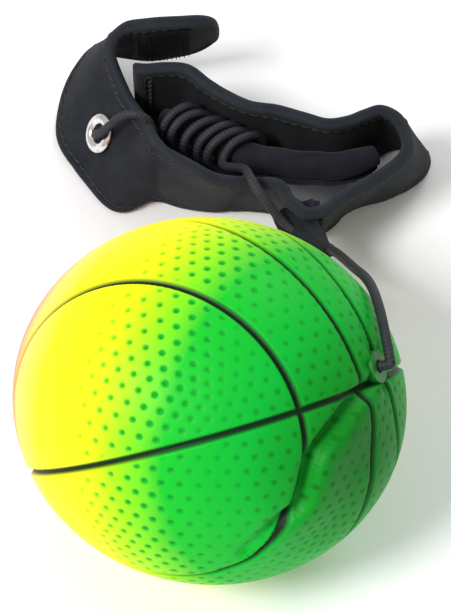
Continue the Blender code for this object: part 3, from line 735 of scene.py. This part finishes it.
def add_strap(strap, finish):
    """The strap's cloth in two pieces, which meet where the cloth moves with the band."""
    spots = np.concatenate([
        np.arange(FLAP_END, strap.length - TAIL_EASE, 0.6),
        strap.length - TAIL_EASE * (1 - np.sin(np.linspace(0, math.pi / 2, 14))),
    ])
    half_width = np.full(len(spots), BAND_WIDTH / 2)
    band = strap_piece("wristband_cloth", strap, spots, half_width, (False, True), finish)
    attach(band, "band")
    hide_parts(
        "band_outer", "band_core", "band_lining", "band_bottom_hem", "band_top_hem", "band_tail_hem",
    )
    spots = np.concatenate([
        FLAP_TIP * (1 - np.sin(np.linspace(math.pi / 2, 0.05, 22))),
        np.arange(FLAP_TIP, FLAP_END + 0.01, 0.5),
    ])
    flap = strap_piece("flap_cloth", strap, spots, flap_half_width(spots), (True, False), finish)
    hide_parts("flap_outer", "flap_core", "flap_lining", "flap_hem")
    blend_over_fold(flap, strap)


def blend_over_fold(piece, strap):
    """Bakes a piece's place into its points; the cloth's places on either side of the fold are worked out,
    but nothing uses them.
    """
    start = strap.place(FOLD_ALONG + 5.0, BAND_WIDTH / 2)
    end = strap.place(FOLD_ALONG - 2.5, BAND_WIDTH / 2)
    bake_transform(piece)


def stitch_row(solids, strap, places, side, length=1.5, radius=0.17):
    """Stitches that lie along a row of places (along, across) and dip into the cloth at both ends."""
    between = 0.7
    path = np.array(places, float)
    count = max(1, round(lengths_along(path)[-1] / (length + between)))
    spots = even_path(path, lengths_along(path)[-1] / count)
    for (a0, s0), (a1, s1) in zip(spots[:-1], spots[1:]):
        shares = np.linspace(0.1, 0.9, 6)
        along = a0 + (a1 - a0) * shares
        across = s0 + (s1 - s0) * shares
        half = half_thickness(np.minimum(across, BAND_WIDTH - across))
        rise = half - 0.1 + 0.28 * np.sin(np.linspace(0, math.pi, 6))
        out = crumple(along, across) + side * rise
        solids.add_tube(strap.place(along, across, out), radius, 6)


def add_stitches(strap, finish):
    """Hem stitches on both faces, with those of the flap as a piece of their own."""
    low, high = HEM_REACH, BAND_WIDTH - HEM_REACH
    tail = strap.length - HEM_REACH
    band, flap = Solids(), Solids()
    for side in (1, -1):
        for across in (low, high):
            stitch_row(band, strap, [(FLAP_END, across), (tail, across)], side)
            stitch_row(flap, strap, [(FLAP_TIP + 1.0, across), (FLAP_END, across)], side)
        stitch_row(band, strap, [(tail, low), (tail, high)], side)
    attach(add_mesh("wristband_stitches", band.points, band.faces, finish), "band")
    blend_over_fold(add_mesh("flap_stitches", flap.points, flap.faces, finish), strap)


TACK_STITCHES = 24
TACK_MARGIN = 3.6
TACK_HALF = 0.55  # half of the zigzag's width along the strap


def add_tack(name, strap, along, finish):
    """A close zigzag across the strap, on its inner face."""
    width = BAND_WIDTH - 2 * TACK_MARGIN
    solids = Solids()
    for k in range(TACK_STITCHES):
        across = TACK_MARGIN + k * width / TACK_STITCHES
        shift = TACK_HALF * (-1) ** k
        places = [(along - shift, across), (along + shift, across + width / TACK_STITCHES)]
        stitch_row(solids, strap, places, -1, length=2.0, radius=0.2)
    return add_mesh(name, solids.points, solids.faces, finish)


def add_tacks(strap, finish):
    """The zigzags that hold the ends of the hook and loop patches."""
    tail = add_tack("tail_zigzag", strap, strap.length - 3.5, finish)
    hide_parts("tail_bar_tack")
    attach(tail, "band")
    flap = add_tack("flap_zigzag", strap, FOLD_ALONG - 6.5, finish)
    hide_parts("flap_bar_tack")
    blend_over_fold(flap, strap)


PATCH_MARGIN = 3.2
HOOK_START, HOOK_STOP = 6.0, FOLD_ALONG - 8.0
LOOPS_LENGTH, LOOPS_END = 37.0, 5.0  # the loop tape, and the cloth left free past it
PATCH_SINK = 0.3  # how far a tape's back reaches into the cloth
TAPE_FIBRE_SIDES = 5


def patch_base(strap, start, stop, side, height):
    """A thin tape sewn on the strap, with soft edges, as the first of a patch's bodies."""
    spots = np.arange(start, stop + 0.01, 0.6)
    shares = np.linspace(0, 1, 33)
    along = np.repeat(spots[:, None], len(shares), axis=1)
    across = PATCH_MARGIN + shares[None] * (BAND_WIDTH - 2 * PATCH_MARGIN) + 0 * along
    edge = np.minimum(along - spots[0], spots[-1] - along)
    edge = np.minimum(edge, np.minimum(across - PATCH_MARGIN, BAND_WIDTH - PATCH_MARGIN - across))
    top = height * (0.25 + 0.75 * smooth_step(edge, 0.0, 0.7))
    top = top + 0.05 * np.sin(along * 7.1) * np.sin(across * 6.3)
    middle = crumple(along, across)
    face = strap.place(along, across, middle + side * (BODY_HALF + top))
    back = strap.place(along, across, middle + side * (BODY_HALF - PATCH_SINK))
    points, marks = two_faced(face, back, along, across, 0.0)
    solids = Solids()
    solids.add(points.reshape(-1, 3), [ring[::-side] for ring in closed_grid(points)])
    solids.marks = [tuple(mark) for mark in marks.reshape(-1, 3)]
    return solids


def add_hook_patch(strap, finish):
    """The tape of small bent hooks on the flap's inner face."""
    start, stop, side = HOOK_START, HOOK_STOP, -1
    solids = patch_base(strap, start, stop, side, 0.45)
    for i, along in enumerate(np.arange(start + 0.9, stop - 0.6, 0.85)):
        for k, across in enumerate(np.arange(PATCH_MARGIN + 0.9, BAND_WIDTH - PATCH_MARGIN - 0.8, 0.95)):
            lean = 0.24 * (-1) ** (i + k)
            base = crumple(along, across)
            heights = BODY_HALF + np.array((0.2, 0.75, 1.05, 0.98))
            shift = lean * np.array((0.0, 0.1, 0.9, 1.9))
            path = strap.place(np.full(4, along) + 0.1 * i % 0.3, across + shift, base + side * heights)
            solids.add_tube(path, np.array((0.12, 0.1, 0.1, 0.07)), TAPE_FIBRE_SIDES, (along, across, 0.0))
    marks = {"cloth_place": solids.marks}
    made = add_mesh("flap_hooks", solids.points, solids.faces, finish, marks)
    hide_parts("flap_hook_patch")
    blend_over_fold(made, strap)


def add_loop_patch(strap, finish):
    """The tape of small loops, turned every way, on the tail's outer face."""
    stop, side = strap.length - LOOPS_END, 1
    start = stop - LOOPS_LENGTH
    solids = patch_base(strap, start, stop, side, 0.55)
    shares = np.linspace(0, math.pi, 6)
    for i, along in enumerate(np.arange(start + 0.8, stop - 0.6, 1.05)):
        for k, across in enumerate(np.arange(PATCH_MARGIN + 0.8, BAND_WIDTH - PATCH_MARGIN - 0.7, 1.05)):
            turn = 2.4 * (i * 3 + k * 5)
            reach = 0.42 * np.cos(shares)
            out = crumple(along, across) + side * (BODY_HALF + 0.35 + 0.55 * np.sin(shares))
            path = strap.place(along + reach * math.cos(turn), across + reach * math.sin(turn), out)
            solids.add_tube(path, 0.09, TAPE_FIBRE_SIDES, (along, across, 0.0))
    marks = {"cloth_place": solids.marks}
    made = add_mesh("loop_tape_pile", solids.points, solids.faces, finish, marks)
    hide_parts("loop_patch")
    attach(made, "band")


# ---- Roll, pinch, eyelet and knots


ROLL_TURNS = 2.4
ROLL_CLOTH = 0.95  # thickness of the rolled cloth
ROLL_PITCH = 1.3  # from one of its layers to the next


def add_roll(roll, finish):
    """Cloth rolled up on itself: a spiral ribbon, drawn along the roll's axis."""
    turns = np.linspace(0, 2 * math.pi * ROLL_TURNS, 90)
    outer = ROLL_RADIUS - ROLL_PITCH * turns / (2 * math.pi)
    inner = np.maximum(outer - ROLL_CLOTH, 0.12)
    radius = np.concatenate([outer, inner[::-1]])
    angle = np.concatenate([turns, turns[::-1]]) + 0.6
    path = even_path(roll, 0.7)
    sides, ups = frames_along(path)
    shares = lengths_along(path) / lengths_along(path)[-1]
    size = (1 - 0.30 * np.abs(2 * shares - 1) ** 8)[:, None]
    wobble = 1 + 0.035 * np.sin(3 * angle[None] + 9 * shares[:, None])
    wobble = wobble + 0.03 * np.sin(40 * shares[:, None] + angle[None])
    reach = radius[None] * size * wobble * 0.96
    turn = angle[None] + 0.5 * shares[:, None]
    points = path[:, None] + sides[:, None] * (np.cos(turn) * reach)[..., None]
    points = points + ups[:, None] * (np.sin(turn) * reach)[..., None]
    # Painted highlight along the outer edge of the rolled cloth.
    rim = 0.8 * bump(np.arange(len(radius)), 1.5)
    marks = {"cloth_place": grid_marks((shares * lengths_along(path)[-1])[:, None], angle * radius, rim)}
    made = add_mesh("rolled_cloth", points, closed_grid(points), finish, marks)
    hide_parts("inner_roll")
    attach(made, "band")


PINCH_PATH = ((16.6, 54.6, 17.0), (18.0, 49.6, 17.6), (20.4, 43.8, 20.4), (23.2, 38.2, 25.2))
PINCH_ACROSS = (1.0, 0.35, 0.25)
PINCH_SIDES = 40
PINCH_GATHERS = 9


def add_pinch(finish):
    """The cloth that is drawn out with the cord where the near wall folds: a flat cone of gathers."""
    path = smooth_curve(PINCH_PATH, 0.35)
    shares = lengths_along(path) / lengths_along(path)[-1]
    angle = np.arange(PINCH_SIDES) * 2 * math.pi / PINCH_SIDES
    width = (4.6 - 3.3 * smooth_step(shares, 0.0, 0.95))[:, None]
    height = (1.9 - 0.7 * smooth_step(shares, 0.0, 1.0))[:, None]
    gathers = 1 + 0.10 * np.cos(PINCH_GATHERS * angle)[None] * (1 - 0.5 * shares[:, None])
    close = np.sqrt(np.clip(1 - np.clip((shares - 0.93) / 0.07, 0, 0.985) ** 2, 0, 1))[:, None]
    across = unit(PINCH_ACROSS)
    points = []
    for i, (point, tangent) in enumerate(zip(path, tangents_of(path))):
        wide = unit(across - tangent * (across @ tangent))
        thin = np.cross(tangent, wide)
        ring = point + np.outer(np.cos(angle) * width[i] * gathers[i] * close[i], wide)
        points.append(ring + np.outer(np.sin(angle) * height[i] * gathers[i] * close[i], thin))
    points = np.array(points)
    # Painted highlight on the crests of the gathers.
    rim = 0.25 * np.clip(np.cos(PINCH_GATHERS * angle), 0, 1)
    marks = {"cloth_place": grid_marks((shares * 20)[:, None], angle * 3, rim)}
    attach(add_mesh("pinched_cloth", points, closed_grid(points), finish, marks), "band")


def turned(profile, place, axis, sides=72):
    """Points and faces of a body turned about an axis, from a closed profile of (radius, height)."""
    axis = unit(axis)
    side, up = axes_across(axis)
    turns = np.arange(sides) * 2 * math.pi / sides
    out = np.cos(turns)[:, None] * side + np.sin(turns)[:, None] * up
    profile = np.asarray(profile, float)
    points = place + out[:, None] * profile[None, :, :1] + axis * profile[None, :, 1:]
    return points, grid_faces(sides, len(profile), closed_rows=True)


FLANGE_MIDDLE, FLANGE_HALF, FLANGE_RISE = 3.05, 1.08, 0.78  # the dome's mid radius, half width and height
BARREL_INNER, BARREL_OUTER, BARREL_BACK = 1.93, 2.42, -2.3


def add_eyelet(strap, finish):
    """A rolled, domed flange with a barrel through the cloth, and the washer that it is set against."""
    normal = strap.normal_at(EYELET_ALONG)
    place = strap.place(EYELET_ALONG, EYELET_ACROSS)
    dome = [
        (FLANGE_MIDDLE + FLANGE_HALF * math.cos(turn), EYELET_FACE - 0.02 + FLANGE_RISE * math.sin(turn))
        for turn in np.linspace(0, math.pi, 22)
    ]
    barrel = [
        (BARREL_INNER, 1.1),
        (BARREL_INNER, BARREL_BACK),
        (2.25, BARREL_BACK - 0.05),
        (BARREL_OUTER, BARREL_BACK),
        (BARREL_OUTER, 1.2),
        (2.8, EYELET_FACE - 0.1),
        (FLANGE_MIDDLE + FLANGE_HALF, EYELET_FACE - 0.12),
    ]
    washer = [
        (4.0, -1.5), (4.15, -1.65), (4.15, -1.95), (3.9, -2.12), (3.0, -2.18), (2.75, -2.0), (2.75, -1.5),
    ]
    for name, node, profile in (
        ("eyelet_ring", "eyelet", dome + barrel),
        ("eyelet_back_ring", "eyelet_washer", washer),
    ):
        points, faces = turned(profile, place, normal)
        made = add_mesh(name, points, faces, finish, sharp_angle=50)
        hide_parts(node)
        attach(made, "band")


KNOT_SIDES = 12
KNOT_SIZE = 2.0
KNOT_BEHIND = 4.5  # from the cloth's middle back to the eyelet's knot


def knot_points(place, axis, size):
    """A trefoil of cord: an overhand knot pulled tight."""
    scale = size / 2.3
    radius = 0.88 * scale
    axis = unit(axis)
    side, up = axes_across(axis)
    t = np.linspace(0, 2 * math.pi, 90, endpoint=False)
    loops = np.stack([np.sin(t) + 2 * np.sin(2 * t), np.cos(t) - 2 * np.cos(2 * t), -np.sin(3 * t)], axis=1)
    loops *= np.array((0.47, 0.47, 0.75)) * scale
    path = place + loops[:, :1] * side + loops[:, 1:2] * up + loops[:, 2:] * axis
    tangents = np.roll(path, -1, axis=0) - np.roll(path, 1, axis=0)
    tangents /= np.linalg.norm(tangents, axis=1, keepdims=True)
    out = path - place
    across = out - tangents * (out * tangents).sum(axis=1, keepdims=True)
    across /= np.linalg.norm(across, axis=1, keepdims=True)
    turns = np.arange(KNOT_SIDES) * 2 * math.pi / KNOT_SIDES
    rings = rings_round(path, across, np.cross(tangents, across), radius, turns)
    marks = grid_marks(np.arange(len(path))[:, None] * 0.25, turns, 0.0)
    return rings, grid_faces(len(path), KNOT_SIDES, closed_rows=True), marks


def add_knots(strap, finish):
    """The knots that stop the cord's two ends, behind the eyelet and inside the ball."""
    _, _, _, axis = ball_shape()
    normal = strap.normal_at(EYELET_ALONG)
    behind = strap.place(EYELET_ALONG, EYELET_ACROSS) - normal * KNOT_BEHIND
    inner_low, inner_high = (np.array(corner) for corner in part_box("anchor_knot"))
    inside = ((inner_low + inner_high) / 2 - STANDING_SPOT) / MM
    for name, node, body, place, direction in (
        ("knot_behind_eyelet", "eyelet_knot", "band", behind, normal),
        ("knot_inside_ball", "anchor_knot", "anchor", inside, axis),
    ):
        points, faces, marks = knot_points(place, direction, KNOT_SIZE)
        made = add_mesh(name, points, faces, finish, {"cord_place": marks})
        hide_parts(node)
        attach(made, body)


# ---- The ball

SEAM_HALF_WIDTH = 0.56
SEAM_DEPTH = 0.75
PIT_SPACING_STEPS = 14  # pits along each side of the 20 triangles that they are laid out on
PIT_RADIUS = 0.76
PIT_DEPTH = 0.32
# The seams' circles on the unit ball, seen with u to the right, v up and w out of its lit face
SEAMS = (
    ((-0.295, 0.954, 0.052), -0.094),
    ((-0.669, -0.317, 0.673), -0.106),
    ((-0.435, -0.232, 0.870), 0.597),
    ((0.836, 0.370, -0.409), 0.597),
)
FACE_TILT = math.radians(90.0) - math.radians(CAMERA_TILT)
SPRAY_AXIS = (0.794, -0.207, 0.572)  # from the pink side of the ball to the green one, as (u, v, w)
BALL_SUBDIVISIONS = 8
# The dent, across its fold: a sharp hollow, the ridge beside it, and the slack slope past the ridge
HOLLOW_DEPTH, HOLLOW_PLACE, HOLLOW_WIDTH = 2.7, -1.5, 1.4
RIDGE_HEIGHT, RIDGE_PLACE, RIDGE_NEAR_WIDTH, RIDGE_FAR_WIDTH = 0.55, 0.6, 0.7, 4.5
SLOPE_DEPTH, SLOPE_PLACE, SLOPE_WIDTH = 0.7, 9.0, 5.0
# The dent's fold, from the mouth down across the lit face, as (u, v)
FOLD_LINE = (
    (0.84, 0.13), (0.79, 0.06), (0.72, -0.01), (0.63, -0.13), (0.54, -0.26),
    (0.50, -0.41), (0.46, -0.53), (0.37, -0.61), (0.22, -0.75),
)


def face_to_part(direction):
    """A direction given as (u, v, w) in the ball's lit face, as one in the part."""
    u, v, w = np.moveaxis(np.asarray(direction, float), -1, 0)
    up, out = math.sin(FACE_TILT), math.cos(FACE_TILT)
    return np.stack([u, v * up - w * out, v * out + w * up], axis=-1)


def geodesic(steps):
    """Even points on the unit ball: a triangular grid on each face of an icosahedron."""
    golden = (1 + math.sqrt(5)) / 2
    longest_edge = 2.0001
    corners = []
    for a in (-1, 1):
        for b in (-golden, golden):
            corners += [(0, a, b), (a, b, 0), (b, 0, a)]
    corners = np.array(corners, float)
    found = []
    for trio in itertools.combinations(range(len(corners)), 3):
        edges = [np.linalg.norm(corners[a] - corners[b]) for a, b in itertools.combinations(trio, 2)]
        if max(edges) < longest_edge:
            found.append(trio)
    points = []
    for i, j, k in found:
        for a in range(steps + 1):
            for b in range(steps + 1 - a):
                mixed = corners[i] * a + corners[j] * b + corners[k] * (steps - a - b)
                points.append(tuple(np.round(unit(mixed), 6)))
    return np.array(sorted(set(points)))


def search_tree(points):
    """A tree that finds the nearest of the points."""
    tree = kdtree.KDTree(len(points))
    for i, point in enumerate(points):
        tree.insert(point, i)
    tree.balance()
    return tree


def distance_to_pits(directions):
    """How far each direction on the ball is from the nearest pit, in millimetres."""
    pits = search_tree(geodesic(PIT_SPACING_STEPS))
    return np.array([pits.find(direction)[2] for direction in directions]) * BALL_RADIUS


def dent(directions):
    """How far the dent moves the ball's surface out, in millimetres."""
    line = smooth_curve([(u, v, math.sqrt(1 - u * u - v * v)) for u, v in FOLD_LINE], 0.012)
    line = np.array([unit(point) for point in line])
    tangents = tangents_of(line)
    line, tangents = face_to_part(line), face_to_part(tangents)
    along = np.linspace(0, 1, len(line))
    tree = search_tree(line)
    change = np.zeros(len(directions))
    for i in np.flatnonzero(directions @ line[len(line) // 2] > 0.45):
        _, k, away = tree.find(directions[i])
        side = np.sign(np.cross(tangents[k], line[k]) @ (directions[i] - line[k]))
        gap = -side * away * BALL_RADIUS
        ends = math.sin(math.pi * min(max(along[k], 0.04), 0.96)) ** 0.6
        ridge_width = RIDGE_NEAR_WIDTH if gap < RIDGE_PLACE else RIDGE_FAR_WIDTH
        hollow = HOLLOW_DEPTH * bump(gap - HOLLOW_PLACE, HOLLOW_WIDTH)
        ridge = RIDGE_HEIGHT * bump(gap - RIDGE_PLACE, ridge_width)
        slope = SLOPE_DEPTH * bump(gap - SLOPE_PLACE, SLOPE_WIDTH)
        change[i] = ends * (ridge - hollow - slope)
    return change


def pucker(directions):
    """How far the mouth's funnel and gathers move the surface out, and each place's distance from it."""
    mouth = unit(MOUTH_DIRECTION)
    away = np.linalg.norm(directions - mouth, axis=1) * BALL_RADIUS
    side, up = axes_across(mouth)
    turn = np.arctan2(directions @ up, directions @ side)
    funnel = -2.6 * (1 - smooth_step(away, 0.7, 3.0)) - 0.8 * bump(away, 5.5)
    gathers = 0.32 * np.cos(7 * turn + 0.6) * smooth_step(away, 0.8, 2.2) * (1 - smooth_step(away, 3.0, 7.0))
    return funnel + gathers, away


def add_ball(finish):
    """The ball's skin, with its seams, pits, puckered mouth and dent."""
    stretch, middle, _, _ = ball_shape()
    shape = bmesh.new()
    bmesh.ops.create_icosphere(shape, subdivisions=BALL_SUBDIVISIONS, radius=1.0)
    directions = np.array([vert.co for vert in shape.verts])
    directions /= np.linalg.norm(directions, axis=1, keepdims=True)
    faces = [tuple(vert.index for vert in face.verts) for face in shape.faces]
    shape.free()

    groove = np.zeros(len(directions))
    near_seam = np.zeros(len(directions))
    for normal, offset in SEAMS:
        level = directions @ face_to_part(unit(normal)) - offset
        gap = np.abs(level) / math.sqrt(1 - offset**2) * BALL_RADIUS
        groove = np.maximum(groove, 1 - smooth_step(gap, SEAM_HALF_WIDTH - 0.25, SEAM_HALF_WIDTH + 0.25))
        near_seam = np.maximum(near_seam, 1 - smooth_step(gap, 0.9, 1.7))
    drop, from_mouth = pucker(directions)
    plain = (1 - near_seam) * smooth_step(from_mouth, 3.0, 5.0)
    pit = (1 - smooth_step(distance_to_pits(directions), 0.15, PIT_RADIUS)) * plain
    groove *= smooth_step(from_mouth, 1.0, 2.2)
    spray = directions @ unit(face_to_part(SPRAY_AXIS))
    # The pits are faint on the yellow side, and less plain again in the deepest green
    pit *= 0.12 + 0.88 * smooth_step(spray, -0.25, 0.18)
    pit *= 1 - 0.55 * smooth_step(spray, 0.42, 0.60)
    height = drop + dent(directions) - SEAM_DEPTH * groove - PIT_DEPTH * pit
    points = middle + directions @ stretch.T * (BALL_RADIUS + height)[:, None]
    # pit dents the skin and also sets the painted shade in the pits.
    marks = {"spray": spray, "pit": pit, "groove": groove}
    made = add_mesh("ball_skin", points, faces, finish, marks, sharp_angle=180.0)
    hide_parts("ball_shell")
    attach(made, "ball")


def paint_inner_nodes():
    """The pieces inside the ball keep their CAD shape and get moulded finishes; the plug's dark green is
    painted shade of the puckered mouth.
    """
    for node, name, dark, light, roughness in (
        # The plug's dark green is painted shade in the mouth's hollow.
        ("ball_plug", "plug_rubber_painted_shade", (0.001, 0.10, 0.005), (0.003, 0.24, 0.014), 0.5),
        ("anchor_disc", "disc_plastic_finish", (0.60, 0.60, 0.57), (0.80, 0.80, 0.77), 0.35),
    ):
        finish = Finish(name, roughness)
        grain = finish.noise(700.0, 4.0)
        finish.color(finish.ramp(grain, [(0.3, dark), (0.7, light)]))
        finish.bump(grain, 0.2, 0.05 * MM)
        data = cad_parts[node].data
        data.materials.clear()
        data.materials.append(finish.material)


def main():
    add_camera()
    add_studio()
    strap = Strap()
    roll = smooth_curve(ROLL_AXIS, 0.5)
    cord = cord_finish("braided_elastic")
    add_cord(strap, roll, cord)
    band_cloth = cloth_finish("charcoal_cloth", (0.0045, 0.0055, 0.0075), (0.019, 0.022, 0.028), 0.62)
    lining = cloth_finish("black_lining", (0.004, 0.004, 0.007), (0.018, 0.018, 0.027), 0.5, sheen=0.06)
    tape = cloth_finish("hook_tape_nylon", (0.002, 0.002, 0.003), (0.006, 0.006, 0.009), 0.5, sheen=0.02)
    pile = cloth_finish("loop_tape_pile_nylon", (0.004, 0.004, 0.006), (0.016, 0.016, 0.021), 0.4, sheen=0.15)
    thread = thread_finish()
    metal = metal_finish()
    add_strap(strap, band_cloth)
    add_stitches(strap, thread)
    add_tacks(strap, thread)
    add_hook_patch(strap, tape)
    add_loop_patch(strap, pile)
    add_roll(roll, lining)
    add_pinch(band_cloth)
    add_eyelet(strap, metal)
    add_knots(strap, cord)
    add_ball(ball_finish())
    paint_inner_nodes()


main()
